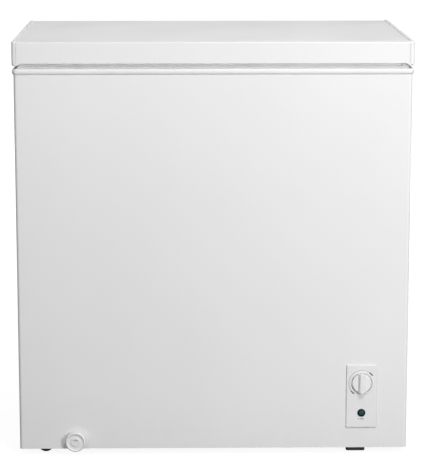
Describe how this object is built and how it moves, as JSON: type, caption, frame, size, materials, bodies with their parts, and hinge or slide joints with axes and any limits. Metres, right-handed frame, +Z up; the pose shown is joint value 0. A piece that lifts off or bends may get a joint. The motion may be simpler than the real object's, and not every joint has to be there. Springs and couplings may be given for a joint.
{
  "type": "chest freezer",
  "caption": "Small white chest freezer with a spring-hinged lid, hanging wire basket, thermostat panel, drain outlet, rollers and levelling feet.",
  "frame": {"origin": "on the floor, under the middle of the bounding box of the closed freezer", "axes": "+Z up, the front faces -Y, +X is to the right as seen from the front"},
  "size_m": [0.802, 0.559, 0.854],
  "materials": {
    "white_paint": "satin",
    "liner_paint": "satin",
    "grey_paint": "satin",
    "galvanised_steel": "satin",
    "bright_steel": "polished",
    "spring_steel": "satin",
    "white_plastic": "satin",
    "panel_plastic": "satin",
    "inner_plastic": "satin",
    "foam": "matte",
    "aluminium_tube": "satin",
    "dark_tube": "matte",
    "black_enamel": "gloss",
    "rubber_black": "matte",
    "rubber_grey": "matte",
    "gasket_grey": "matte",
    "black_plastic": "matte",
    "ivory_plastic": "matte",
    "copper": "satin",
    "dark_plastic": "matte",
    "grille_plastic": "matte",
    "lens_green": "gloss",
    "cable_sleeve": "matte",
    "grey_plastic": "matte",
    "roller_nylon": "matte",
    "foot_plastic": "matte",
    "coated_wire": "gloss"
  },
  "bodies": {
    "cabinet": {"outer_wrap": "white_paint", "back_panel": "grey_paint", "bottom_pan": "galvanised_steel", "top_collar": "white_plastic", "inner_liner": "liner_paint", "foam_insulation": "foam", "evaporator_tube": "aluminium_tube", "condenser_tube": "dark_tube", "bay_liner": "galvanised_steel", "base_plate": "galvanised_steel", "compressor": "black_enamel", "compressor_grommets": "rubber_black", "compressor_bolts": "bright_steel", "terminal_cover": "black_plastic", "start_relay": "ivory_plastic", "filter_drier": "copper", "suction_tube": "copper", "discharge_tube": "copper", "capillary_tube": "copper", "rear_grille": "dark_plastic", "rear_grille_screws": "bright_steel", "side_grille": "grille_plastic", "cord_gland": "rubber_black", "control_panel": "panel_plastic", "thermostat": "black_plastic", "indicator_lens": "lens_green", "lamp_holder": "black_plastic", "sensor_tube": "copper", "wiring_harness": "cable_sleeve", "drain_tube": "grey_plastic", "roller_brackets": "galvanised_steel", "roller_axles": "bright_steel", "hinge_base_left": "galvanised_steel", "hinge_base_right": "galvanised_steel", "hinge_pin_left": "bright_steel", "hinge_pin_right": "bright_steel", "hinge_spring_left": "spring_steel", "hinge_spring_right": "spring_steel", "hinge_base_screws": "bright_steel"},
    "lid": {"lid_skin": "white_paint", "lid_end_cap_left": "white_plastic", "lid_end_cap_right": "white_plastic", "lid_inner_panel": "inner_plastic", "lid_foam": "foam", "lid_gasket": "gasket_grey", "hinge_arm_left": "galvanised_steel", "hinge_arm_right": "galvanised_steel", "hinge_lid_screws": "bright_steel"},
    "plunger_left": {"hinge_plunger_left": "bright_steel"},
    "plunger_right": {"hinge_plunger_right": "bright_steel"},
    "knob": {"thermostat_knob": "white_plastic", "thermostat_shaft": "bright_steel"},
    "drain_outlet": {"drain_spout": "white_plastic"},
    "drain_cap": {"drain_dial": "white_plastic"},
    "stopper": {"drain_stopper": "rubber_grey"},
    "basket": {"wire_basket": "coated_wire"},
    "front_roller": {"roller_front": "roller_nylon"},
    "rear_roller": {"roller_rear": "roller_nylon"},
    "front_foot": {"levelling_foot_front": "foot_plastic"},
    "rear_foot": {"levelling_foot_rear": "foot_plastic"}
  },
  "joints": [
    {"name": "lid_hinge", "type": "hinge", "parent": "cabinet", "child": "lid", "pos_m": [0, 0.2645, 0.803], "axis": [-1, 0, 0], "range_deg": [0, 75]},
    {"name": "plunger_left_slide", "type": "slide", "parent": "cabinet", "child": "plunger_left", "axis": [0, 0, -1], "range_m": [0, 0.0123], "deforming": ["hinge_spring_left"]},
    {"name": "plunger_right_slide", "type": "slide", "parent": "cabinet", "child": "plunger_right", "axis": [0, 0, -1], "range_m": [0, 0.0123], "deforming": ["hinge_spring_right"]},
    {"name": "thermostat_turn", "type": "hinge", "parent": "cabinet", "child": "knob", "pos_m": [0.3045, -0.272, 0.152], "axis": [0, -1, 0], "range_deg": [-135, 135]},
    {"name": "drain_pull", "type": "slide", "parent": "cabinet", "child": "drain_outlet", "axis": [0, -1, 0], "range_m": [0, 0.02]},
    {"name": "drain_turn", "type": "hinge", "parent": "drain_outlet", "child": "drain_cap", "pos_m": [-0.2833, -0.272, 0.0315], "axis": [0, -1, 0], "range_deg": [0, 180]},
    {"name": "stopper_lift", "type": "slide", "parent": "cabinet", "child": "stopper", "axis": [0, 0, 1], "range_m": [0, 0.06]},
    {"name": "basket_slide", "type": "slide", "parent": "cabinet", "child": "basket", "axis": [1, 0, 0], "range_m": [-0.46, 0]},
    {"name": "roller_front_spin", "type": "hinge", "parent": "cabinet", "child": "front_roller", "pos_m": [-0.3467, -0.227, 0.016], "axis": [0, 1, 0], "continuous": true},
    {"name": "roller_rear_spin", "type": "hinge", "parent": "cabinet", "child": "rear_roller", "pos_m": [-0.3467, 0.212, 0.016], "axis": [0, 1, 0], "continuous": true},
    {"name": "foot_front_extend", "type": "slide", "parent": "cabinet", "child": "front_foot", "axis": [0, 0, -1], "range_m": [0, 0.01]},
    {"name": "foot_rear_extend", "type": "slide", "parent": "cabinet", "child": "rear_foot", "axis": [0, 0, -1], "range_m": [0, 0.01]}
  ],
  "couplings": [
    {"joint": "plunger_left_slide", "follows": "lid_hinge", "m_per_rad": 0.0093},
    {"joint": "plunger_right_slide", "follows": "lid_hinge", "m_per_rad": 0.0093}
  ]
}
